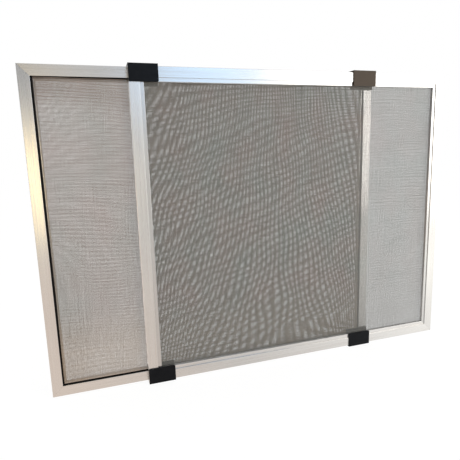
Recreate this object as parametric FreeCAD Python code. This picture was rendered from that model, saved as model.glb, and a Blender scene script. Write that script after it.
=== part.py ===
import FreeCAD, Part

import math
import os

# Extending insect screen for a window opening.
# Two equal mitred aluminium frames overlap and slide past each other. The spline sides face each other.
# The rear panel is the front panel turned half round the vertical axis through the origin.
# Four E-section slide clips hold the overlapping rails: the left pair sits on the front panel's left end,
# and the right pair on the rear panel's right end.
# X is along the slide, Y points away from the room, Z is up. The origin is the middle of the footprint.

# Panel, in millimetres
panel_width = 573.0
panel_height = 500.0
panel_offset = 149.3    # how far the front panel stands to the right of the rear one
panel_gap = 2.0         # air between the two panels, where the clips' middle legs run

# Rail section: u runs from the outer edge inwards, v from the plain face to the spline face
rail_depth = 8.0
rail_wall = 0.9
tube_width = 16.1
plain_step = 1.4        # how far the lip's plain side lies behind the tube's plain face
groove_mouth = 3.4
hook_reach = 2.6        # width of the hooked lip that the mesh is folded over
hook_thickness = 1.1
lip_drop = 1.0          # how far the lip's top lies below the spline face
tube_edge_radius = 0.5
lip_edge_radius = 0.3
mitre_gap = 0.15

# Corner keys inside the tubes
key_arm = 42.0
key_clearance = 0.15
key_tooth_pitch = 7.0
key_tooth_depth = 0.9
key_tooth_slope = 5.6   # length of a tooth's sloping side
key_teeth = 4
key_end_chamfer = 3.5   # taper of the arms' free ends
key_core_wall = 2.2
key_core_floor = 1.6

# Mesh: a thin sheet with ridges along it on one side and across it on the other
mesh_thickness = 0.2
ridge_height = 0.15
ridge_width = 1.6
ridge_columns = 40
ridge_rows = 36
ridge_edge_clearance = 0.4
cells_per_gap = 4
hem_top_drop = 1.8      # how far the cut edge of the mesh ends below the lip's top

# Spline cord
spline_end_gap = 0.6
spline_side_play = 0.001    # keeps the cord's two round ends from meeting in a point

# Slide clips
clip_width = 44.0
clip_wall = 1.7
clip_bridge = 2.0
clip_clearance = 0.3    # between a leg and the rail that runs past it
outer_leg = 26.0        # from the clip's outer face to the end of the front or back leg
middle_leg = 31.0
top_play = 1.4          # air between the top rails and the clips' bridge
bottom_play = 0.4       # air between the bottom rails and the clips' bridge
hook_height = 4.0
hook_lead = 1.0
hook_float = 0.5        # air between a clip's hook and the stepped lip
stile_float = 0.6       # air between a clip's hook and the stile's plain face
leg_corner_radius = 1.4 # at the legs' free corners, never more than half the hook
clip_edge_radius = 0.8
clip_root_radius = 0.25

rail_face = tube_width + groove_mouth + hook_reach
groove_outer = tube_width + groove_mouth
lip_top = rail_depth - lip_drop
groove_floor = plain_step + rail_wall
assembly_depth = 2 * rail_depth + panel_gap
total_width = panel_width + panel_offset
foot_height = bottom_play + clip_bridge

TOLERANCE = 1e-6        # lengths and places closer than this are the same
X_AXIS = FreeCAD.Vector(1, 0, 0)
Y_AXIS = FreeCAD.Vector(0, 1, 0)
Z_AXIS = FreeCAD.Vector(0, 0, 1)


def rounded_wire(corners, place):
    """Closed wire through corners (a, b, radius), each radius a tangent arc. place maps (a, b) to 3-D."""
    count = len(corners)
    edges = []
    entries = []
    for i, (a, b, radius) in enumerate(corners):
        here = FreeCAD.Vector(a, b, 0)
        before = FreeCAD.Vector(corners[i - 1][0], corners[i - 1][1], 0)
        after = FreeCAD.Vector(corners[(i + 1) % count][0], corners[(i + 1) % count][1], 0)
        if radius <= 0:
            entries.append((here, here, None))
            continue
        back = (before - here).normalize()
        ahead = (after - here).normalize()
        half_angle = back.getAngle(ahead) / 2
        setback = radius / math.tan(half_angle)
        bisector = (back + ahead).normalize()
        centre = here + bisector * (radius / math.sin(half_angle))
        entries.append((here + back * setback, here + ahead * setback, centre - bisector * radius))
    for i, (start, end, middle) in enumerate(entries):
        if middle is not None:
            arc = Part.Arc(place(start.x, start.y), place(middle.x, middle.y), place(end.x, end.y))
            edges.append(arc.toShape())
        following = entries[(i + 1) % count][0]
        if end.distanceToPoint(following) > TOLERANCE:
            edges.append(Part.LineSegment(place(end.x, end.y), place(following.x, following.y)).toShape())
    return Part.Wire(edges)


def prism(corners, place, direction, holes=()):
    """Solid made by carrying a rounded outline, less its holes, along a direction."""
    wires = [rounded_wire(outline, place) for outline in (corners, *holes)]
    return Part.makeFace(wires, "Part::FaceMakerBullseye").extrude(direction)


def box(low, high):
    """Solid box between two corners."""
    low = FreeCAD.Vector(*low)
    size = FreeCAD.Vector(*high) - low
    return Part.makeBox(size.x, size.y, size.z, low)


def ring(outer_inset, inner_inset, depth_from, depth_to):
    """Rectangular band between two insets from the panel's outer edge."""
    outside = box(
        (outer_inset, depth_from, outer_inset),
        (panel_width - outer_inset, depth_to, panel_height - outer_inset),
    )
    inside = box(
        (inner_inset, depth_from, inner_inset),
        (panel_width - inner_inset, depth_to, panel_height - inner_inset),
    )
    return outside.cut(inside)


# The four sides of a panel: start corner, direction inwards, direction along, length
PANEL_SIDES = {
    "left_stile": (FreeCAD.Vector(0, 0, 0), X_AXIS, Z_AXIS, panel_height),
    "right_stile": (FreeCAD.Vector(panel_width, 0, 0), -X_AXIS, Z_AXIS, panel_height),
    "bottom_rail": (FreeCAD.Vector(0, 0, 0), Z_AXIS, X_AXIS, panel_width),
    "top_rail": (FreeCAD.Vector(0, 0, panel_height), -Z_AXIS, X_AXIS, panel_width),
}


def mitred_side(side, corners, holes, width, start_gap, end_gap):
    """One side of a panel: a section carried along it and cut off at 45 degrees at both ends."""
    corner, inward, along, length = PANEL_SIDES[side]

    def section(u, v):
        return corner + inward * u + Y_AXIS * v

    def plan(u, w):
        return corner + inward * u + along * w

    bar = prism(corners, section, along * length, holes)
    start = start_gap / math.sqrt(2)
    end = length - end_gap / math.sqrt(2)
    trapezium = [
        (0, start, 0),
        (width, start + width, 0),
        (width, end - width, 0),
        (0, end, 0),
    ]
    return bar.common(prism(trapezium, plan, Y_AXIS * rail_depth))


def rail(side):
    """Hollow rail: a square tube on the outside, then the spline groove and the hooked lip, stepped back."""
    outline = [
        (0, 0, tube_edge_radius),
        (tube_width, 0, lip_edge_radius),
        (tube_width, plain_step, 0),
        (rail_face, plain_step, lip_edge_radius),
        (rail_face, lip_top, lip_edge_radius),
        (groove_outer, lip_top, lip_edge_radius),
        (groove_outer, lip_top - hook_thickness, 0),
        (rail_face - rail_wall, lip_top - hook_thickness, 0),
        (rail_face - rail_wall, groove_floor, 0),
        (tube_width, groove_floor, 0),
        (tube_width, rail_depth, lip_edge_radius),
        (0, rail_depth, tube_edge_radius),
    ]
    far_wall = tube_width - rail_wall
    bore = [
        (rail_wall, rail_wall, 0),
        (far_wall, rail_wall, 0),
        (far_wall, rail_depth - rail_wall, 0),
        (rail_wall, rail_depth - rail_wall, 0),
    ]
    return mitred_side(side, outline, [bore], rail_face, mitre_gap / 2, mitre_gap / 2)


def spline():
    """PVC cord squeezed to an upright oval in the groove. Its two ends meet at the bottom right corner."""
    outer = tube_width + mesh_thickness
    inner = groove_outer - mesh_thickness
    low = groove_floor + mesh_thickness
    radius = (inner - outer) / 2 - spline_side_play
    oval = [
        (outer, low, radius),
        (inner, low, radius),
        (inner, lip_top, radius),
        (outer, lip_top, radius),
    ]
    width = groove_outer
    lengths = []
    for side in PANEL_SIDES:
        start_gap = spline_end_gap if side == "right_stile" else 0
        lengths.append(mitred_side(side, oval, [], width, start_gap, 0))
    return lengths[0].multiFuse(lengths[1:]).removeSplitter()


def ridge_positions(low, high, count):
    """Centres of evenly spaced ridges, half a pitch in from both edges."""
    pitch = (high - low) / count
    return [low + pitch / 2 + pitch * i for i in range(count)]


def comb_outline(low, high, centres, wall_from, wall_to, ridge_to):
    """Section of a thin wall with square ridges on one of its faces."""
    half = ridge_width / 2
    points = [(low, wall_from, 0), (high, wall_from, 0), (high, wall_to, 0)]
    for centre in reversed(centres):
        points += [
            (centre + half, wall_to, 0),
            (centre + half, ridge_to, 0),
            (centre - half, ridge_to, 0),
            (centre - half, wall_to, 0),
        ]
    points.append((low, wall_to, 0))
    return points


def mesh():
    """Screen cloth: a ridged sheet over the lips, its edge folded down the groove and up the tube wall."""
    near = lip_top
    far = lip_top + mesh_thickness
    window = rail_face + ridge_edge_clearance
    x_low, x_high = window, panel_width - window
    z_low, z_high = window, panel_height - window
    columns = ridge_positions(x_low, x_high, ridge_columns)
    rows = ridge_positions(z_low, z_high, ridge_rows)

    upright = prism(
        comb_outline(x_low, x_high, columns, near, far, far + ridge_height),
        lambda a, b: FreeCAD.Vector(a, b, z_low),
        Z_AXIS * (z_high - z_low),
    )
    level = prism(
        comb_outline(z_low, z_high, rows, far, near, near - ridge_height),
        lambda a, b: FreeCAD.Vector(x_low, b, a),
        X_AXIS * (x_high - x_low),
    )
    cloth = upright.fuse(level)

    border = ring(groove_outer - mesh_thickness, window, near, far)
    fold = ring(groove_outer - mesh_thickness, groove_outer, groove_floor, far)
    floor = ring(tube_width, groove_outer, groove_floor, groove_floor + mesh_thickness)
    cut_edge = ring(tube_width, tube_width + mesh_thickness, groove_floor, lip_top - hem_top_drop)
    cloth = cloth.multiFuse([border, fold, floor, cut_edge])

    half = ridge_width / 2
    gaps = []
    first = cells_per_gap // 2 - 1
    for column in range(first, ridge_columns - 1, cells_per_gap):
        for row in range(first, ridge_rows - 1, cells_per_gap):
            gap_low = (columns[column] + half, near - ridge_height, rows[row] + half)
            gap_high = (columns[column + 1] - half, far + ridge_height, rows[row + 1] - half)
            gaps.append(box(gap_low, gap_high))
    return cloth.cut(Part.makeCompound(gaps)).removeSplitter()


def corner_key(x_end, z_end):
    """Moulded elbow with saw teeth on both arms and a cored back. x_end and z_end pick the corner."""
    edge = rail_wall + key_clearance
    width = tube_width - 2 * edge
    depth_from = edge
    depth_to = rail_depth - edge

    x_inward = 1 if x_end == 0 else -1
    z_inward = 1 if z_end == 0 else -1

    def place(a, b):
        return FreeCAD.Vector(x_end + x_inward * a, depth_from, z_end + z_inward * b)

    inner = edge + width
    far = edge + key_arm
    chamfer = key_end_chamfer
    outline = [
        (edge, edge, 0),
        (far - chamfer, edge, 0),
        (far, edge + chamfer, 0),
        (far, inner - chamfer, 0),
        (far - chamfer, inner, 0),
        (inner, inner, 0),
        (inner, far - chamfer, 0),
        (inner - chamfer, far, 0),
        (edge + chamfer, far, 0),
        (edge, far - chamfer, 0),
    ]
    key = prism(outline, place, Y_AXIS * (depth_to - depth_from))
    cuts = []
    for i in range(key_teeth):
        tooth = far - chamfer - key_tooth_pitch * (i + 1)
        for side, into in ((edge, 1), (inner, -1)):
            notch = [
                (tooth, side, 0),
                (tooth + key_tooth_slope, side, 0),
                (tooth, side + into * key_tooth_depth, 0),
            ]
            if tooth <= inner and into < 0:
                continue
            cuts.append(prism(notch, place, Y_AXIS * (depth_to - depth_from)))
            turned = [(b, a, radius) for a, b, radius in notch]
            cuts.append(prism(turned, place, Y_AXIS * (depth_to - depth_from)))
    core_low = edge + key_core_wall
    core_high = inner - key_core_wall
    core_end = far - chamfer - key_core_wall
    core_outline = [
        (core_low, core_low, 0),
        (core_end, core_low, 0),
        (core_end, core_high, 0),
        (core_high, core_high, 0),
        (core_high, core_end, 0),
        (core_low, core_end, 0),
    ]
    core = prism(core_outline, place, Y_AXIS * (depth_to - depth_from - key_core_floor))
    return key.cut(Part.makeCompound(cuts)).cut(core)


def clip(top):
    """Slide clip at the panel's left end: three legs hang from a bridge and hold one rail of each panel."""
    outer_face = panel_height + top_play + clip_bridge if top else -foot_height
    reach = -1 if top else 1

    def place(y, h):
        return FreeCAD.Vector(0, y, outer_face + reach * h)

    front = -clip_clearance - clip_wall
    back = assembly_depth + clip_clearance + clip_wall
    middle_front = rail_depth + clip_clearance
    middle_back = rail_depth + panel_gap - clip_clearance
    hook_tip = plain_step - hook_float
    hook_start = outer_leg - hook_height
    outline = [
        (front, 0, clip_edge_radius),
        (back, 0, clip_edge_radius),
        (back, outer_leg, 0),
        (assembly_depth - hook_tip, outer_leg, 0),
        (assembly_depth - hook_tip, hook_start, 0),
        (assembly_depth + clip_clearance, hook_start - hook_lead, 0),
        (assembly_depth + clip_clearance, clip_bridge, clip_root_radius),
        (middle_back, clip_bridge, clip_root_radius),
        (middle_back, middle_leg, 0),
        (middle_front, middle_leg, 0),
        (middle_front, clip_bridge, clip_root_radius),
        (-clip_clearance, clip_bridge, clip_root_radius),
        (-clip_clearance, hook_start - hook_lead, 0),
        (hook_tip, hook_start, 0),
        (hook_tip, outer_leg, 0),
        (front, outer_leg, 0),
    ]
    body = prism(outline, place, X_AXIS * clip_width)

    # The front hook stops short of the stile that the clip is fitted over
    relief_heights = sorted(outer_face + reach * h for h in (clip_bridge, outer_leg))
    relief = box(
        (0, -clip_clearance, relief_heights[0]),
        (tube_width + stile_float, hook_tip, relief_heights[1]),
    )
    body = body.cut(relief)

    corners = []
    for edge in body.Edges:
        low = edge.BoundBox
        if low.XLength > TOLERANCE or low.ZLength > TOLERANCE:
            continue
        at_side = min(abs(low.XMin), abs(low.XMin - clip_width)) < TOLERANCE
        height = abs(low.ZMin - outer_face)
        if at_side and min(abs(height - outer_leg), abs(height - middle_leg)) < TOLERANCE:
            corners.append(edge)
    return body.makeFillet(min(leg_corner_radius, hook_height / 2), corners)


def front_panel():
    """Every piece of the front panel, with its lower left corner at zero and its plain face at Y zero."""
    pieces = {side: rail(side) for side in PANEL_SIDES}
    pieces["spline"] = spline()
    pieces["mesh"] = mesh()
    for z_name, z_end in (("bottom", 0), ("top", panel_height)):
        for x_name, x_end in (("left", 0), ("right", panel_width)):
            pieces[f"corner_key_{z_name}_{x_name}"] = corner_key(x_end, z_end)
    return pieces


def turned_name(name):
    """Name of a piece once the panel has been turned half round, which swaps left and right."""
    swap = {"left": "right", "right": "left"}
    return "_".join(swap.get(word, word) for word in name.split("_"))


def main():
    """Places the pieces and writes one file for each node."""
    os.makedirs("parts", exist_ok=True)
    shift = FreeCAD.Vector(panel_offset - total_width / 2, -assembly_depth / 2, foot_height)
    nodes = {}
    for name, shape in front_panel().items():
        front = shape.translated(shift)
        nodes["front_" + name] = front
        nodes["rear_" + turned_name(name)] = front.rotated(FreeCAD.Vector(), Z_AXIS, 180)
    for level in ("top", "bottom"):
        left = clip(level == "top").translated(shift)
        nodes[level + "_left_clip"] = left
        nodes[level + "_right_clip"] = left.rotated(FreeCAD.Vector(), Z_AXIS, 180)
    for name, shape in nodes.items():
        solids = shape.Solids
        if len(solids) != 1 or not shape.isValid():
            raise RuntimeError(f"{name}: {len(solids)} solids, valid {shape.isValid()}")
        solids[0].exportStep(f"parts/{name}.step")


main()
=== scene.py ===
import math

import bpy
import numpy as np
from bpy.props import FloatProperty, FloatVectorProperty, PointerProperty
from mathutils import Matrix, Quaternion, Vector


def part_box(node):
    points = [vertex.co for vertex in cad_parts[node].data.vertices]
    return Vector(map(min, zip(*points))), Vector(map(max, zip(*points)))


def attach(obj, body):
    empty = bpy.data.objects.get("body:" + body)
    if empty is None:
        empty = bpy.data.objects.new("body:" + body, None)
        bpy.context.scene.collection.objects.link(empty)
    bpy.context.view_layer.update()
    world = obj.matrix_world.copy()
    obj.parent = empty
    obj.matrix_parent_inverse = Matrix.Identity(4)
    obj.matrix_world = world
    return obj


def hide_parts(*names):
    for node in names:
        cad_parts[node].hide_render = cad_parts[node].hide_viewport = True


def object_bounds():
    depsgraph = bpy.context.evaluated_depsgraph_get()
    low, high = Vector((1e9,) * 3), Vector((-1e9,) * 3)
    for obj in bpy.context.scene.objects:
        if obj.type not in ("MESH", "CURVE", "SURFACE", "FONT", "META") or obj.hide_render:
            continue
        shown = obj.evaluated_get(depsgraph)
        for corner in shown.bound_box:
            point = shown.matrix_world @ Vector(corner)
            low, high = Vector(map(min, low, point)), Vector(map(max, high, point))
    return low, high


# Looks of an extending window screen: two mitred aluminium frames with woven cloth, black cord and slide clips.
# Lengths are in metres, as Blender keeps them, and small ones are written as millimetres times MM.

bl_info = {
    "name": "Extending Window Screen",
    "version": (1, 0, 0),
    "blender": (4, 5, 0),
    "location": "View3D > Sidebar > Window Screen",
    "description": "Weaves the cloth of an extending window screen and finishes its frames, cord and clips",
    "category": "Object",
}

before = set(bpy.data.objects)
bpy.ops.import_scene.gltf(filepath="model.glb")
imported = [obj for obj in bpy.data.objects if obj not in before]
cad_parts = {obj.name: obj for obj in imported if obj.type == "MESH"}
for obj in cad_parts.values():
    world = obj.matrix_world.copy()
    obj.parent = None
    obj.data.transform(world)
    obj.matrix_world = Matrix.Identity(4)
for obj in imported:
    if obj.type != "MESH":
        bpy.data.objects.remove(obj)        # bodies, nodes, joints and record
CAD_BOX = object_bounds()
PANELS = ("front", "rear")
SIDES = ("left_stile", "right_stile", "top_rail", "bottom_rail")
MM = 0.001


def linear(hex_colour):
    """Linear red, green, blue and an alpha of 1 from an sRGB hex such as "#C8CACC"."""
    srgb = np.array([int(hex_colour[i:i + 2], 16) for i in (1, 3, 5)]) / 255
    return (*np.where(srgb <= 0.04045, srgb / 12.92, ((srgb + 0.055) / 1.055) ** 2.4).tolist(), 1.0)


def times(tone, factors):
    """A colour whose red, green and blue are multiplied by the factors, up to 1, with an alpha of 1."""
    return (*np.minimum(np.array(tone[:3]) * factors, 1.0).tolist(), 1.0)


def length(name, description, millimetres):
    """A length that a user can change, given in millimetres."""
    return FloatProperty(
        name=name, description=description, default=millimetres * MM, min=0.0, precision=5, unit="LENGTH"
    )


def colour(name, description, hex_colour):
    """A colour that a user can change, given as sRGB hex."""
    return FloatVectorProperty(
        name=name, description=description, default=linear(hex_colour), size=4, min=0.0, max=1.0, subtype="COLOR"
    )


def slopes(name, description, pair):
    """Two slopes that a user can change, each a sideways move for a length along."""
    return FloatVectorProperty(name=name, description=description, default=pair, size=2, precision=4)


def share(name, description, default):
    """A share from 0 to 1 that a user can change."""
    return FloatProperty(name=name, description=description, default=default, min=0.0, max=1.0, subtype="FACTOR")


class SCREEN_PG_weave(bpy.types.PropertyGroup):
    """Thread spacing and sizes of one panel's cloth"""

    upright_pitch: length("Upright pitch", "Spacing of the threads that run up", 1.6)
    level_pitch: length("Level pitch", "Spacing of the threads that run across", 1.41)
    upright_lean: slopes("Lean of the upright threads", "Slope at the left and at the right", (-0.03, 0.015))
    level_lean: slopes("Lean of the level threads", "Slope at the bottom and at the top", (0.010, -0.012))
    wander: length("Wander", "How far a thread strays sideways, together with its neighbours", 0.25)
    looseness: length("Looseness", "How far a thread strays sideways on its own, here and there", 0.11)
    upright_cover: share("Upright cover", "Width of an upright thread as a share of its pitch", 0.51)
    level_cover: share("Level cover", "Width of a level thread as a share of its pitch", 0.43)
    thickness: length("Thread thickness", "Thickness of a thread, pressed flat at the crossings", 0.165)
    upright_ripple: share("Upright ripple", "How much an upright thread's width varies in ripples", 0.06)
    level_ripple: share("Level ripple", "How much the loom's beat varies a level thread's width", 0.13)
    ripple_pitch: length("Ripple pitch", "Spacing of the ripples that the loom's beat leaves", 5.6)
    thread_colour: colour("Thread", "Vinyl coat of the glass threads", "#84837F")
    # Painted light: the warm light that the floor throws up on the threads near the sill, painted into their colour.
    low_colour: colour("Thread, with painted floor light", "The coat near the sill, with warm floor light painted on", "#84837F")
    painted_floor_light_reach: length("Reach of the low colour", "Height above the sill at which the low colour begins", 140.0)


class SCREEN_PG_cloth(bpy.types.PropertyGroup):
    """Where the cloths of both panels lie in their frames"""

    lip_level: length("Lip level", "Depth of the lip's top below the plain face", 7.0)
    groove_floor: length("Groove floor", "Depth of the groove's floor below the plain face", 2.3)
    groove_outer: length("Groove's outer wall", "From the panel's edge to the tube's side of the groove", 16.1)
    groove_inner: length("Groove's inner wall", "From the panel's edge to the lip's side of the groove", 19.5)
    hem_drop: length("Hem drop", "How far the cut edge ends below the lip's top", 1.8)


class SCREEN_PG_metal(bpy.types.PropertyGroup):
    """Finish of the aluminium frames"""

    base: colour("Aluminium", "Satin silver anodised aluminium", "#BAB9B8")
    tint: colour("Aluminium, darker drawing lines", "The darker lines that the die leaves", "#B3B1AF")
    roughness: share("Roughness", "Mean roughness of the etched satin surface", 0.28)
    stretch: share("Stretch", "How much wider gloss spreads across the die lines than along them", 0.5)
    lip_step: length("Lip step", "Depth of the lip's plain face below the tube's", 1.4)
    # Painted shade: a stile's lip is darkened for the shade that its step casts on it.
    lip_shade: share("Lip shade", "Brightness of a stile's lip, beside the step, against the tube's face", 0.82)
    line_width: length("Die line width", "Width of the fine lines along the extrusion", 0.7)
    line_length: length("Die line length", "Length of the fine lines along the extrusion", 90.0)


class SCREEN_PG_plastic(bpy.types.PropertyGroup):
    """Finish of the cord, the clips and the corner keys"""

    clip: colour("Clip", "Black moulded plastic", "#0D0F13")
    clip_scuff: colour("Clip, rubbed", "The same plastic where it is rubbed", "#1A1B1E")
    # Painted reflection: warm glare painted into the top right clip's colour.
    clip_painted_glare: colour("Clip, painted glare", "The same plastic, with warm glare painted on", "#4C4239")
    cord: colour("Cord", "Black soft PVC", "#060607")
    key: colour("Corner key", "Dark moulded nylon", "#2B2B2D")
    grain: length("Moulded grain", "Size of the fine grain of the clips' mould", 0.45)
    rib_pitch: length("Cord rib pitch", "Spacing of the fine ribs along the cord", 0.55)


class SCREEN_PG_stage(bpy.types.PropertyGroup):
    """Camera, floor and light"""

    camera_place: FloatVectorProperty(
        name="Camera", description="Where the camera stands", default=(-0.27223, -0.66788, 0.36795),
        subtype="TRANSLATION", unit="LENGTH", precision=5,
    )
    camera_target: FloatVectorProperty(
        name="Target", description="What the camera looks at", default=(-0.06101, 0.0, 0.24515),
        subtype="TRANSLATION", unit="LENGTH", precision=5,
    )
    camera_roll: FloatProperty(
        name="Roll", description="Turn of the camera about its own line of sight",
        default=math.radians(-1.84), subtype="ANGLE",
    )
    lens: FloatProperty(name="Lens", description="Focal length on a 36 mm sensor", default=33.095, unit="CAMERA")
    floor: colour("Floor", "Pale floor", "#F3F2F0")
    ambient: share("Ambient", "Brightness of the surroundings on dull surfaces", 0.62)


SETTINGS = {
    "screen_front_weave": SCREEN_PG_weave,
    "screen_rear_weave": SCREEN_PG_weave,
    "screen_cloth": SCREEN_PG_cloth,
    "screen_metal": SCREEN_PG_metal,
    "screen_plastic": SCREEN_PG_plastic,
    "screen_stage": SCREEN_PG_stage,
}


def add_node(tree, kind, inputs=None, **settings):
    """Adds a node. Each of inputs is a value to set or an output socket to link; settings are its properties."""
    node = tree.nodes.new(kind)
    for name, value in settings.items():
        setattr(node, name, value)
    for name, value in (inputs or {}).items():
        if isinstance(value, bpy.types.NodeSocket):
            tree.links.new(value, node.inputs[name])
        else:
            node.inputs[name].default_value = value
    return node


def new_material(name):
    """An empty node material, its tree and its output node."""
    material = bpy.data.materials.new(name)
    material.use_nodes = True
    material.node_tree.nodes.clear()
    output = add_node(material.node_tree, "ShaderNodeOutputMaterial")
    return material, material.node_tree, output


def stretched_noise(tree, sizes, detail=2.0):
    """Noise on Object coordinates whose blotches have the given size in metres along x, y and z."""
    place = add_node(tree, "ShaderNodeTexCoord").outputs["Object"]
    scaled = add_node(
        tree, "ShaderNodeMapping", {"Vector": place, "Scale": [1 / size for size in sizes]}
    ).outputs["Vector"]
    return add_node(
        tree, "ShaderNodeTexNoise", {"Vector": scaled, "Scale": 1.0, "Detail": detail}
    ).outputs["Fac"]


def between(tree, factor, low, high):
    """factor from 0.3 to 0.7, as noise mostly is, mapped to the range from low to high."""
    return add_node(
        tree,
        "ShaderNodeMapRange",
        {"Value": factor, "From Min": 0.3, "From Max": 0.7, "To Min": low, "To Max": high},
    ).outputs["Result"]


def mixed(tree, factor, first, second):
    """Colour that goes from first to second with factor."""
    return add_node(
        tree,
        "ShaderNodeMix",
        {"Factor": factor, "A": first, "B": second},
        data_type="RGBA",
    ).outputs[2]


LIP_MARGIN = 0.3 * MM    # how far from the level of the lip's plain face a point still counts as on it


def on_lip(tree, surface, metal):
    """1 on the plain face of the stepped lip and 0 elsewhere, by its depth and by how squarely it faces y."""
    level = -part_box("front_left_stile")[0].y - metal.lip_step
    place = add_node(tree, "ShaderNodeTexCoord").outputs["Object"]
    depth, facing = (
        add_node(
            tree,
            "ShaderNodeMath",
            {0: add_node(tree, "ShaderNodeSeparateXYZ", {"Vector": vector}).outputs["Y"]},
            operation="ABSOLUTE",
        ).outputs["Value"]
        for vector in (place, surface)
    )
    near = add_node(
        tree, "ShaderNodeMath", {0: depth, 1: level, 2: LIP_MARGIN}, operation="COMPARE"
    ).outputs["Value"]
    return add_node(tree, "ShaderNodeMath", {0: near, 1: facing}, operation="MULTIPLY").outputs["Value"]


def satin_anodised_aluminium(name, along):
    """Extruded aluminium, etched matt and clear anodised: a satin silver that mirrors broad light softly.

    Fine die lines run along the extrusion, along x for rails and z for stiles. Real ones are about 0.1 mm wide
    and are drawn wider, so that they show.
    """
    metal = bpy.context.scene.screen_metal
    material, tree, output = new_material(name)
    fine, long = metal.line_width, metal.line_length
    lines = stretched_noise(tree, [long if axis == along else fine for axis in "xyz"])
    bands = stretched_noise(tree, [2 * long if axis == along else 4 * fine for axis in "xyz"])
    clouds = stretched_noise(tree, (50 * MM,) * 3, detail=3.0)
    tone = mixed(tree, between(tree, bands, 0.0, 1.0), tuple(metal.base), tuple(metal.tint))
    tone = mixed(tree, between(tree, clouds, 0.0, 0.35), tone, tuple(metal.tint))
    surface = add_node(tree, "ShaderNodeNewGeometry").outputs["Normal"]
    # Painted shade: on the stiles the lip beside the step is darkened to lip_shade times the base, for the step's
    # shade.
    if along == "z":
        tone = mixed(tree, on_lip(tree, surface, metal), tone, times(metal.base, metal.lip_shade))
    line = tuple(float(axis == along) for axis in "xyz")
    across = add_node(
        tree, "ShaderNodeVectorMath", {0: surface, 1: line}, operation="CROSS_PRODUCT"
    ).outputs["Vector"]
    smoothest, roughest = metal.roughness - 0.04, metal.roughness + 0.05
    rough = between(tree, lines, smoothest, roughest)
    bump = add_node(
        tree, "ShaderNodeBump", {"Height": lines, "Strength": 0.2, "Distance": 0.03 * MM}
    ).outputs["Normal"]
    shader = add_node(
        tree,
        "ShaderNodeBsdfPrincipled",
        {
            "Base Color": tone,
            "Metallic": 1.0,
            "Roughness": rough,
            "Normal": bump,
            "Anisotropic": metal.stretch,
            "Tangent": across,
        },
    )
    tree.links.new(shader.outputs["BSDF"], output.inputs["Surface"])
    return material


def moulded_plastic(name, fresh, rubbed):
    """Clips: injection-moulded ABS with a fine spark-eroded grain, a little paler and smoother where it is rubbed.

    The grain takes most of the gloss away, so the clips look flat and dark.
    """
    plastic = bpy.context.scene.screen_plastic
    material, tree, output = new_material(name)
    grain = stretched_noise(tree, (plastic.grain,) * 3, detail=3.0)
    rub = stretched_noise(tree, (12 * MM, 12 * MM, 6 * MM), detail=4.0)
    tone = mixed(tree, between(tree, rub, 0.0, 0.6), tuple(fresh), tuple(rubbed))
    rough = between(tree, rub, 0.34, 0.28)
    bump = add_node(
        tree, "ShaderNodeBump", {"Height": grain, "Strength": 0.3, "Distance": 0.04 * MM}
    ).outputs["Normal"]
    shader = add_node(
        tree,
        "ShaderNodeBsdfPrincipled",
        {"Base Color": tone, "Roughness": rough, "Normal": bump, "IOR": 1.53, "Specular IOR Level": 0.06},
    )
    tree.links.new(shader.outputs["BSDF"], output.inputs["Surface"])
    return material


def ribbed_pvc(panel):
    """Cord: soft black PVC, extruded with fine ribs along it that grip the cloth, a deep dull black.

    The ribs follow the distance in from the panel's edge, which is the same all along a side:
    the larger of |x| less half the width and |z| less half the height, both from the cord's middle.
    """
    plastic = bpy.context.scene.screen_plastic
    low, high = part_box(f"{panel}_spline")
    centre, half = (low + high) / 2, (high - low) / 2
    material, tree, output = new_material(f"extruded_pvc_{panel}")
    place = add_node(tree, "ShaderNodeTexCoord").outputs["Object"]
    apart = add_node(
        tree, "ShaderNodeVectorMath", {0: place, 1: centre}, operation="SUBTRACT"
    ).outputs["Vector"]
    apart = add_node(tree, "ShaderNodeVectorMath", {0: apart}, operation="ABSOLUTE").outputs["Vector"]
    inwards = add_node(
        tree, "ShaderNodeVectorMath", {0: apart, 1: half}, operation="SUBTRACT"
    ).outputs["Vector"]
    parts = add_node(tree, "ShaderNodeSeparateXYZ", {"Vector": inwards})
    edge = add_node(
        tree, "ShaderNodeMath", {0: parts.outputs["X"], 1: parts.outputs["Z"]}, operation="MAXIMUM"
    ).outputs["Value"]
    turns = add_node(
        tree, "ShaderNodeMath", {0: edge, 1: 2 * math.pi / plastic.rib_pitch}, operation="MULTIPLY"
    ).outputs["Value"]
    ribs = add_node(tree, "ShaderNodeMath", {0: turns}, operation="SINE").outputs["Value"]
    dust = stretched_noise(tree, (4 * MM,) * 3, detail=4.0)
    bump = add_node(
        tree, "ShaderNodeBump", {"Height": ribs, "Strength": 0.5, "Distance": 0.08 * MM}
    ).outputs["Normal"]
    shader = add_node(
        tree,
        "ShaderNodeBsdfPrincipled",
        {
            "Base Color": tuple(plastic.cord),
            "Roughness": between(tree, dust, 0.38, 0.52),
            "Normal": bump,
            "IOR": 1.52,
            "Specular IOR Level": 0.08,
        },
    )
    tree.links.new(shader.outputs["BSDF"], output.inputs["Surface"])
    return material


def moulded_nylon():
    """Corner keys: dark glass-filled nylon, dull, with a fine flow pattern from the mould."""
    plastic = bpy.context.scene.screen_plastic
    material, tree, output = new_material("moulded_nylon")
    flow = stretched_noise(tree, (6 * MM, 1 * MM, 6 * MM), detail=3.0)
    tone = mixed(tree, between(tree, flow, 0.0, 1.0), tuple(plastic.key), times(plastic.key, 0.7))
    bump = add_node(
        tree, "ShaderNodeBump", {"Height": flow, "Strength": 0.3, "Distance": 0.05 * MM}
    ).outputs["Normal"]
    shader = add_node(
        tree,
        "ShaderNodeBsdfPrincipled",
        {"Base Color": tone, "Roughness": 0.55, "Normal": bump, "IOR": 1.53},
    )
    tree.links.new(shader.outputs["BSDF"], output.inputs["Surface"])
    return material


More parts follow.
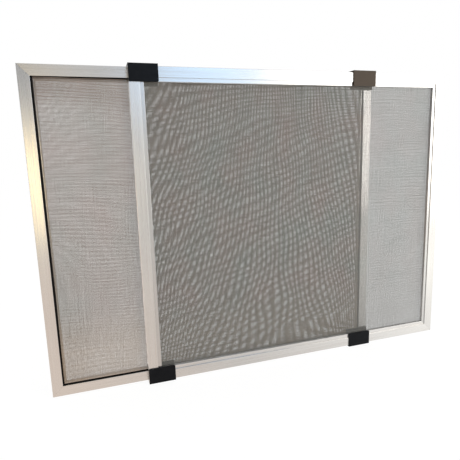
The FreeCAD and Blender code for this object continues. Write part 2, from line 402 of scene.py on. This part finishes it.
def mirrored_from_the_cord_side(tree, panel):
    """1 for a mirrored ray that meets a panel's cloth from its cord side, and 0 for the others.

    That is where the side of a thread that the ray meets faces the cord.
    """
    rays = add_node(tree, "ShaderNodeLightPath").outputs["Is Glossy Ray"]
    face = add_node(tree, "ShaderNodeNewGeometry").outputs["True Normal"]
    towards_cord = (0.0, 1.0 if panel == "front" else -1.0, 0.0)
    side = add_node(
        tree, "ShaderNodeVectorMath", {0: face, 1: towards_cord}, operation="DOT_PRODUCT"
    ).outputs["Value"]
    side = add_node(tree, "ShaderNodeMath", {0: side, 1: 0.0}, operation="GREATER_THAN").outputs["Value"]
    return add_node(tree, "ShaderNodeMath", {0: side, 1: rays}, operation="MULTIPLY").outputs["Value"]


def coated_glass_fibre(panel, weave):
    """Cloth: glass-fibre threads in a grey vinyl coat, dull, each a little lighter or darker than the next.

    The threads' over and under is a bump: the product of a sine along each direction, half a turn for each pitch.
    Real threads are about half as wide as these, and hardly shade the metal behind them or dim what it mirrors.
    So mirrored rays from there pass, and the cloth casts no shadow. The frame's inner walls do mirror the cloth.
    """
    material, tree, output = new_material(f"vinyl_coated_glass_fibre_{panel}")
    place = add_node(tree, "ShaderNodeTexCoord").outputs["Object"]
    parts = add_node(tree, "ShaderNodeSeparateXYZ", {"Vector": place})
    waves = []
    for axis, pitch in (("X", weave.upright_pitch), ("Z", weave.level_pitch)):
        turns = add_node(
            tree, "ShaderNodeMath", {0: parts.outputs[axis], 1: math.pi / pitch}, operation="MULTIPLY"
        ).outputs["Value"]
        waves.append(add_node(tree, "ShaderNodeMath", {0: turns}, operation="SINE").outputs["Value"])
    crossing = add_node(tree, "ShaderNodeMath", {0: waves[0], 1: waves[1]}, operation="MULTIPLY").outputs["Value"]
    bump = add_node(
        tree, "ShaderNodeBump", {"Height": crossing, "Strength": 0.4, "Distance": 0.1 * MM}
    ).outputs["Normal"]
    upright = stretched_noise(tree, (3 * MM, 50 * MM, 120 * MM))
    level = stretched_noise(tree, (120 * MM, 50 * MM, 3 * MM))
    drift = stretched_noise(tree, (60 * MM, 60 * MM, 90 * MM))
    # Painted light: near the sill the threads turn to the low colour, for the warm light from the floor.
    painted_floor_light_mask = add_node(
        tree,
        "ShaderNodeMapRange",
        {"Value": parts.outputs["Z"], "From Min": weave.painted_floor_light_reach, "From Max": weave.painted_floor_light_reach / 2},
    ).outputs["Result"]
    warm, cool = times(weave.thread_colour, (1.1, 0.97, 0.96)), times(weave.thread_colour, (0.93, 1.03, 1.03))
    pale, dark = times(weave.thread_colour, 1.35), times(weave.thread_colour, 0.7)
    tone = mixed(tree, between(tree, drift, 0.0, 1.0), warm, cool)
    tone = mixed(tree, painted_floor_light_mask, tone, tuple(weave.low_colour))
    tone = mixed(tree, between(tree, upright, 0.0, 0.22), tone, pale)
    tone = mixed(tree, between(tree, level, 0.0, 0.22), tone, dark)
    shader = add_node(
        tree,
        "ShaderNodeBsdfPrincipled",
        {"Base Color": tone, "Roughness": 0.5, "Normal": bump, "Specular IOR Level": 0.3},
    )
    clear = add_node(tree, "ShaderNodeBsdfTransparent")
    both = add_node(
        tree,
        "ShaderNodeMixShader",
        {0: mirrored_from_the_cord_side(tree, panel), 1: shader.outputs["BSDF"], 2: clear.outputs["BSDF"]},
    )
    tree.links.new(both.outputs["Shader"], output.inputs["Surface"])
    return material


def finish_nodes(names, material):
    """Gives CAD nodes a material in their own slots."""
    for name in names:
        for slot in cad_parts[name].material_slots:
            slot.material = material


def mesh_object(name, points, faces, material, smooth=True):
    """A mesh object at the origin from arrays of points and faces, with one material."""
    mesh = bpy.data.meshes.new(name)
    mesh.from_pydata(points, [], faces)
    mesh.polygons.foreach_set("use_smooth", np.full(len(mesh.polygons), smooth))
    mesh.materials.append(material)
    mesh.update()
    piece = bpy.data.objects.new(name, mesh)
    bpy.context.scene.collection.objects.link(piece)
    return piece


def smooth_step(value):
    """Rises from 0 to 1 with no corner, as 3 t squared less 2 t cubed, for value from 0 to 1."""
    t = np.clip(value, 0, 1)
    return t * t * (3 - 2 * t)


def slow_waves(u, v, table):
    """Sum over the table's rows of size * sin(2 pi (a u + b v) + phase), for u and v from 0 to 1."""
    return sum(size * np.sin(2 * np.pi * (a * u + b * v) + phase) for size, a, b, phase in table)


def random_waves(rng, count, reach_a, reach_b, size):
    """Rows for slow_waves that add up to a wave of about the given mean size, with a and b up to their reaches."""
    size = size * math.sqrt(2 / count)
    return [
        (size, rng.uniform(-reach_a, reach_a), rng.uniform(-reach_b, reach_b), rng.uniform(0, 2 * np.pi))
        for _ in range(count)
    ]


FADE = 0.15              # share of the width over which the threads turn parallel to the frame
LEAN_TURN = 0.7          # share of the width over which one lean turns into the other


def strayed(across, along, wide, tall, lean, waves):
    """Sideways shift of threads that lie at across and are followed to along, in a window wide by tall.

    The threads lean about mid height, by lean[0] on one side to lean[1] on the other, and wander in slow waves.
    Both fade out near the frame, where a thread runs along it.
    """
    u, v = across / wide, along / tall
    fade = smooth_step(u / FADE) * smooth_step((1 - u) / FADE)
    slope = lean[0] + (lean[1] - lean[0]) * smooth_step(u / LEAN_TURN)
    return (slope * (along - tall / 2) + slow_waves(u, v, waves)) * fade


STATIONS = 26            # points of a thread between the two grooves
HEM_STATIONS = 4         # points of a thread in each groove
SECTION = np.array([(-1, 0), (0, 1), (1, 0), (0, -1)])          # a thread cut across, in half widths


def loose(rng, count, size):
    """Sideways shift of each thread on its own: size * a normal number at each station, held through the hems.

    No shift is more than twice the size.
    """
    window = rng.normal(0, size, (count, STATIONS)).clip(-2 * size, 2 * size)
    first, last = window[:, :1], window[:, -1:]
    return np.hstack([first.repeat(HEM_STATIONS, 1), window, last.repeat(HEM_STATIONS, 1)])


def hem_path(span, cloth, half, depth):
    """Stations of a thread across a window: (distance from the panel's edge, depth), folded into both grooves.

    From the cut edge it goes down the tube's wall, across the groove's floor, up the lip's wall,
    over the lip and across the window, and the same way down at the far side.
    """
    low = cloth.groove_floor + half
    cut = cloth.lip_level - cloth.hem_drop
    outside, inside = cloth.groove_outer + half, cloth.groove_inner - half
    down = [(outside, cut), (outside, low), (inside, low), (inside, depth)]
    window = np.linspace(inside, span - inside, STATIONS + 2)[1:-1]
    up = [(span - w, depth) for w, depth in reversed(down)]
    return np.array(down + [(w, depth) for w in window] + up)


def threads(across, half_widths, path, half_thickness, shift):
    """Flat four-sided threads carried along one path, as points (across, along, depth) and faces.

    across is where each thread lies, path its stations (along, depth), and shift and half_widths its sideways
    moves and half widths at them. A point of the section (a, b) lands at across + shift + a * half_width,
    and at the station plus b * half_thickness along the path's mitred normal.
    """
    run = np.diff(path, axis=0)
    run /= np.linalg.norm(run, axis=1)[:, None]
    normals = np.stack([-run[:, 1], run[:, 0]], axis=1)
    before = np.vstack([normals[:1], normals])
    after = np.vstack([normals, normals[-1:]])
    mitre = (before + after) / (1 + (before * after).sum(1))[:, None]
    count, stations, corners = len(across), len(path), len(SECTION)
    sideways = (across[:, None] + shift)[:, :, None] + half_widths[:, :, None] * SECTION[:, 0]
    offset = half_thickness * mitre[:, None, :] * SECTION[None, :, 1, None]
    along = np.broadcast_to(path[:, None, 0] + offset[:, :, 0], sideways.shape)
    depth = np.broadcast_to(path[:, None, 1] + offset[:, :, 1], sideways.shape)
    points = np.stack([sideways, along, depth], axis=-1).reshape(-1, 3)
    number = np.arange(count * stations * corners).reshape(count, stations, corners)
    following = np.roll(number, -1, axis=2)
    sides = np.stack(
        [number[:, :-1], following[:, :-1], following[:, 1:], number[:, 1:]], axis=-1
    ).reshape(-1, 4)
    return points, np.concatenate([sides, number[:, 0, ::-1], number[:, -1]])


RIPPLE_BEND = 0.6        # how many ripples the ripples stray by
UNEVENNESS = 0.02        # spread of the threads' mean widths, as a share of a width
CLEARANCE = 0.002 * MM   # between the lip and the cloth
SEEDS = {"front": 3, "rear": 4}


def woven_cloth(panel, weave, seed):
    """Points and faces of one panel's cloth: level threads next to the lip, and upright threads over them.

    Each thread is closed. Its width is cover * pitch * (1 + its own unevenness + ripple * sin(2 pi turns)),
    where turns is its place across over the ripples' pitch, plus slow waves.
    """
    cloth = bpy.context.scene.screen_cloth
    low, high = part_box(f"{panel}_left_stile")
    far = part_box(f"{panel}_right_stile")[1]
    wide, tall = far.x - low.x, high.z - low.z
    rng = np.random.default_rng(seed)
    half = weave.thickness / 2
    points, faces = [], []
    first = 0
    for layer, (direction, span, count_span) in enumerate((("level", wide, tall), ("upright", tall, wide))):
        pitch, cover, lean, ripple = (
            getattr(weave, f"{direction}_{name}") for name in ("pitch", "cover", "lean", "ripple")
        )
        depth = cloth.lip_level + half * (1 + 2 * layer) + CLEARANCE
        path = hem_path(span, cloth, half, depth)
        room = count_span - 2 * cloth.groove_inner
        count = int(room / pitch)
        across = cloth.groove_inner + (room - (count - 1) * pitch) / 2 + pitch * np.arange(count)
        here = across[:, None], path[None, :, 0]
        waves = random_waves(rng, count=8, reach_a=8, reach_b=5, size=weave.wander)
        shift = strayed(*here, count_span, span, lean, waves) + loose(rng, count, weave.looseness)
        bends = random_waves(rng, count=6, reach_a=3, reach_b=4, size=RIPPLE_BEND)
        turns = here[0] / weave.ripple_pitch + slow_waves(here[0] / count_span, here[1] / span, bends)
        sizes = 1 + rng.normal(0, UNEVENNESS, (count, 1)) + ripple * np.sin(2 * np.pi * turns)
        made, around = threads(across, cover * pitch / 2 * sizes, path, half, shift)
        # (across, along, depth) is (z, x, y) for level threads. For upright ones it is (x, z, y), which turns
        # their faces inside out, so those are turned round.
        if direction == "level":
            made = made[:, [1, 2, 0]]
        else:
            made = made[:, [0, 2, 1]]
            around = around[:, ::-1]
        points.append(made)
        faces.append(around + first)
        first += len(made)
    # The rear panel is the front one turned half round the upright axis through the origin.
    turn = 1 if panel == "front" else -1
    corner_x = low.x if panel == "front" else far.x
    face_y = low.y if panel == "front" else high.y
    points = np.concatenate(points) * (turn, turn, 1) + (corner_x, face_y, low.z)
    return points, np.concatenate(faces).tolist()


class SCREEN_OT_frames(bpy.types.Operator):
    """Finish the rails and stiles in satin anodised aluminium"""

    bl_idname = "screen.frames"
    bl_label = "Finish the frames"

    def execute(self, context):
        rails = satin_anodised_aluminium("satin_anodised_aluminium_rail", "x")
        stiles = satin_anodised_aluminium("satin_anodised_aluminium_stile", "z")
        for panel in PANELS:
            for side in SIDES:
                finish_nodes([f"{panel}_{side}"], rails if side.endswith("rail") else stiles)
        return {"FINISHED"}


class SCREEN_OT_corner_keys(bpy.types.Operator):
    """Finish the corner keys inside the mitres in dark nylon"""

    bl_idname = "screen.corner_keys"
    bl_label = "Finish the corner keys"

    def execute(self, context):
        keys = [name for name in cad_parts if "corner_key" in name]
        finish_nodes(keys, moulded_nylon())
        return {"FINISHED"}


class SCREEN_OT_cords(bpy.types.Operator):
    """Finish the cords that hold the cloth in black ribbed PVC"""

    bl_idname = "screen.cords"
    bl_label = "Finish the cords"

    def execute(self, context):
        for panel in PANELS:
            finish_nodes([f"{panel}_spline"], ribbed_pvc(panel))
        return {"FINISHED"}


class SCREEN_OT_clips(bpy.types.Operator):
    """Finish the slide clips in black moulded plastic"""

    bl_idname = "screen.clips"
    bl_label = "Finish the slide clips"

    def execute(self, context):
        plastic = context.scene.screen_plastic
        clips = {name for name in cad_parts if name.endswith("_clip")}
        # In the photograph the top right clip looks brown and the others black.
        # The top right clip's brown is a painted reflection of warm glare on black plastic, not a colour of the
        # plastic.
        painted_glare_clips = {"top_right_clip"}
        finish_nodes(clips - painted_glare_clips, moulded_plastic("moulded_abs", plastic.clip, plastic.clip_scuff))
        finish_nodes(painted_glare_clips, moulded_plastic("sun_browned_abs", plastic.clip_painted_glare, plastic.clip_painted_glare))
        return {"FINISHED"}


class SCREEN_OT_cloths(bpy.types.Operator):
    """Weave the cloth of both panels from single threads"""

    bl_idname = "screen.cloths"
    bl_label = "Weave the cloths"

    def execute(self, context):
        for panel in PANELS:
            weave = getattr(context.scene, f"screen_{panel}_weave")
            points, faces = woven_cloth(panel, weave, SEEDS[panel])
            piece = mesh_object(f"{panel}_screen_cloth", points, faces, coated_glass_fibre(panel, weave))
            piece.visible_shadow = False        # see coated_glass_fibre
            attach(piece, f"{panel}_panel")
            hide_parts(f"{panel}_mesh")
        return {"FINISHED"}


def seen_directly(tree):
    """1 for a ray from the camera, a gloss or a transmission, and 0 for the others."""
    rays = add_node(tree, "ShaderNodeLightPath").outputs
    bright = add_node(
        tree, "ShaderNodeMath", {0: rays["Is Camera Ray"], 1: rays["Is Glossy Ray"]}, operation="MAXIMUM"
    ).outputs["Value"]
    return add_node(
        tree, "ShaderNodeMath", {0: bright, 1: rays["Is Transmission Ray"]}, operation="MAXIMUM"
    ).outputs["Value"]


def white_world(scene, ambient):
    """White where the camera, a gloss or glass looks at it, and ambient on dull surfaces."""
    world = bpy.data.worlds.new("white_studio")
    scene.world = world
    world.use_nodes = True
    world.cycles.sampling_method = "NONE"       # it is the same all round, so no ray has to look for it
    tree = world.node_tree
    tree.nodes.clear()
    seen = seen_directly(tree)
    strength = add_node(
        tree, "ShaderNodeMapRange", {"Value": seen, "To Min": ambient, "To Max": 1.0}
    ).outputs["Result"]
    background = add_node(tree, "ShaderNodeBackground", {"Color": linear("#FFFFFF"), "Strength": strength})
    output = add_node(tree, "ShaderNodeOutputWorld")
    tree.links.new(background.outputs["Background"], output.inputs["Surface"])


FLOOR_REACH = 8.0           # half the floor's width
FLOOR_WHITE = 1.08          # strength of its white, which makes up for the share that isn't
FLOOR_WHITE_SHARE = 0.85    # share of it that is plain white to the camera; the rest keeps the shadow
# Painted reflection: the floor as the metal mirrors it, at some places along x, glows brighter than white like a
# sunlit floor, and warmer at the left.
FLOOR_PAINTED_REFLECTION = (
    (-0.36, (1.34, 1.16, 1.03)),
    (-0.20, (1.26, 1.13, 1.03)),
    (-0.05, (1.19, 1.14, 1.09)),
    (0.25, (1.50, 1.48, 1.44)),
    (0.70, (2.20, 2.18, 2.08)),
)
FLOOR_FADE = -0.7, -1.5     # places along y between which what is mirrored turns to plain white


def painted_floor_reflection(tree):
    """Shader of the floor as gloss sees it, a painted reflection that glows: the tones listed above along x, and
    plain white far in front.
    """
    place = add_node(tree, "ShaderNodeTexCoord").outputs["Object"]
    place = add_node(tree, "ShaderNodeSeparateXYZ", {"Vector": place})
    tone = (*FLOOR_PAINTED_REFLECTION[0][1], 1.0)
    for (left, _), (right, tone_right) in zip(FLOOR_PAINTED_REFLECTION, FLOOR_PAINTED_REFLECTION[1:]):
        side = add_node(
            tree, "ShaderNodeMapRange", {"Value": place.outputs["X"], "From Min": left, "From Max": right}
        ).outputs["Result"]
        tone = mixed(tree, side, tone, (*tone_right, 1.0))
    near, far = FLOOR_FADE
    away = add_node(
        tree, "ShaderNodeMapRange", {"Value": place.outputs["Y"], "From Min": near, "From Max": far}
    ).outputs["Result"]
    tone = mixed(tree, away, tone, linear("#FFFFFF"))
    return add_node(tree, "ShaderNodeEmission", {"Color": tone}).outputs["Emission"]


def pale_floor(stage):
    """A wide pale floor under the clips. Most of what is seen of it is plain white, and the rest keeps the shadow."""
    material, tree, output = new_material("pale_floor")
    dull = add_node(tree, "ShaderNodeBsdfDiffuse", {"Color": tuple(stage.floor)})
    white = add_node(tree, "ShaderNodeEmission", {"Color": linear("#FFFFFF"), "Strength": FLOOR_WHITE})
    seen = add_node(
        tree, "ShaderNodeMath", {0: seen_directly(tree), 1: FLOOR_WHITE_SHARE}, operation="MULTIPLY"
    ).outputs["Value"]
    plain = add_node(
        tree, "ShaderNodeMixShader", {0: seen, 1: dull.outputs["BSDF"], 2: white.outputs["Emission"]}
    ).outputs["Shader"]
    glossy = add_node(tree, "ShaderNodeLightPath").outputs["Is Glossy Ray"]
    # Mirrored rays see the floor's painted glow, and the others its plain white and shade.
    both = add_node(tree, "ShaderNodeMixShader", {0: glossy, 1: plain, 2: painted_floor_reflection(tree)})
    tree.links.new(both.outputs["Shader"], output.inputs["Surface"])
    reach = FLOOR_REACH
    corners = [(-reach, -reach, 0), (reach, -reach, 0), (reach, reach, 0), (-reach, reach, 0)]
    mesh_object("floor", corners, [(0, 1, 2, 3)], material, smooth=False)


FLAG = (-1.05, 0.62), (-0.56, 1.10), -1.40          # low left corner, high right corner, place along y


def dark_flag():
    """A black card at the upper left, which the top of the left stile mirrors. The camera doesn't see it."""
    material, tree, output = new_material("black_card")
    black = add_node(tree, "ShaderNodeBsdfDiffuse", {"Color": linear("#0C0C0D")})
    tree.links.new(black.outputs["BSDF"], output.inputs["Surface"])
    (left, low), (right, high), away = FLAG
    corners = [(left, away, low), (right, away, low), (right, away, high), (left, away, high)]
    card = mesh_object("dark_flag", corners, [(0, 1, 2, 3)], material, smooth=False)
    card.visible_camera = False


# Soft lamps: place, width, height, radiance, colour. Each faces the screen's middle.
LAMPS = {
    "warm_lamp": ((-0.58, -1.42, 0.27), 0.22, 0.44, 5.4, "#FFE3A0"),
    "cool_panel": ((0.32, -1.50, 0.86), 0.57, 0.55, 2.2, "#9AD0FF"),
    "right_softbox": ((1.50, -1.60, 0.64), 1.35, 1.25, 4.5, "#FFFBF4"),
}


def soft_lamp(scene, name, place, width, height, radiance, hex_colour):
    """A rectangular lamp aimed at the screen's middle. Its power is radiance times pi times its area."""
    lamp = bpy.data.lights.new(name, "AREA")
    lamp.shape = "RECTANGLE"
    lamp.size, lamp.size_y = width, height
    lamp.color = linear(hex_colour)[:3]
    lamp.energy = radiance * math.pi * width * height
    body = bpy.data.objects.new(name, lamp)
    body.location = place
    aim = (CAD_BOX[0] + CAD_BOX[1]) / 2 - Vector(place)
    body.rotation_mode = "QUATERNION"
    body.rotation_quaternion = aim.to_track_quat("-Z", "Y")
    scene.collection.objects.link(body)


class SCREEN_OT_stage(bpy.types.Operator):
    """Set up the camera, the pale floor and the soft light"""

    bl_idname = "screen.stage"
    bl_label = "Set the stage"

    def execute(self, context):
        scene = context.scene
        stage = scene.screen_stage
        place, target = Vector(stage.camera_place), Vector(stage.camera_target)
        turn = (target - place).to_track_quat("-Z", "Y") @ Quaternion((0, 0, 1), stage.camera_roll)
        camera = bpy.data.cameras.new("camera")
        camera.lens = stage.lens
        camera.sensor_width = 36.0
        camera.clip_start, camera.clip_end = 0.01, 50.0
        body = bpy.data.objects.new("camera", camera)
        body.matrix_world = Matrix.Translation(place) @ turn.to_matrix().to_4x4()
        scene.collection.objects.link(body)
        scene.camera = body
        scene.view_settings.view_transform = "Standard"
        white_world(scene, stage.ambient)
        pale_floor(stage)
        dark_flag()
        for name, lamp in LAMPS.items():
            soft_lamp(scene, name, *lamp)
        return {"FINISHED"}


STEPS = (
    SCREEN_OT_frames,
    SCREEN_OT_corner_keys,
    SCREEN_OT_cords,
    SCREEN_OT_clips,
    SCREEN_OT_cloths,
    SCREEN_OT_stage,
)


class SCREEN_PT_panel(bpy.types.Panel):
    """Lists the steps that dress the screen, and their settings"""

    bl_idname = "SCREEN_PT_panel"
    bl_label = "Window Screen"
    bl_space_type = "VIEW_3D"
    bl_region_type = "UI"
    bl_category = "Window Screen"

    def draw(self, context):
        for operator in STEPS:
            self.layout.operator(operator.bl_idname)
        for name, group in SETTINGS.items():
            box = self.layout.box()
            box.label(text=name.replace("_", " "))
            for key in group.__annotations__:
                box.prop(getattr(context.scene, name), key)


CLASSES = (*dict.fromkeys(SETTINGS.values()), *STEPS, SCREEN_PT_panel)


def register():
    """Registers the classes and gives the scene its settings."""
    for item in CLASSES:
        bpy.utils.register_class(item)
    for name, group in SETTINGS.items():
        setattr(bpy.types.Scene, name, PointerProperty(type=group))


def unregister():
    """Takes away what register added."""
    for name in SETTINGS:
        delattr(bpy.types.Scene, name)
    for item in reversed(CLASSES):
        bpy.utils.unregister_class(item)


# The rear cloth's spacings differ from the front one's, so that both together show the soft upright streaks.
# It is warmer than the front one too, and most of all low down, as in the photograph: that warmth is painted warm
# light from the floor, not a colour of the coat.
REAR_WEAVE = {
    "upright_pitch": 1.33 * MM,
    "level_pitch": 1.6 * MM,
    "upright_lean": (0.035, -0.045),
    "level_lean": (0.045, 0.06),
    "looseness": 0.06 * MM,
    "upright_cover": 0.53,
    "level_cover": 0.48,
    "level_ripple": 0.19,
    "thread_colour": linear("#867A70"),
    "low_colour": linear("#A18D78"),
}


def main():
    """Dresses the screen step by step."""
    for name in ("Cube", "Light", "Camera"):        # Blender's own start-up scene
        if name in bpy.data.objects:
            bpy.data.objects.remove(bpy.data.objects[name])
    register()
    for name, value in REAR_WEAVE.items():
        setattr(bpy.context.scene.screen_rear_weave, name, value)
    for step in STEPS:
        group, name = step.bl_idname.split(".")
        getattr(getattr(bpy.ops, group), name)()


if __name__ == "__main__":
    main()
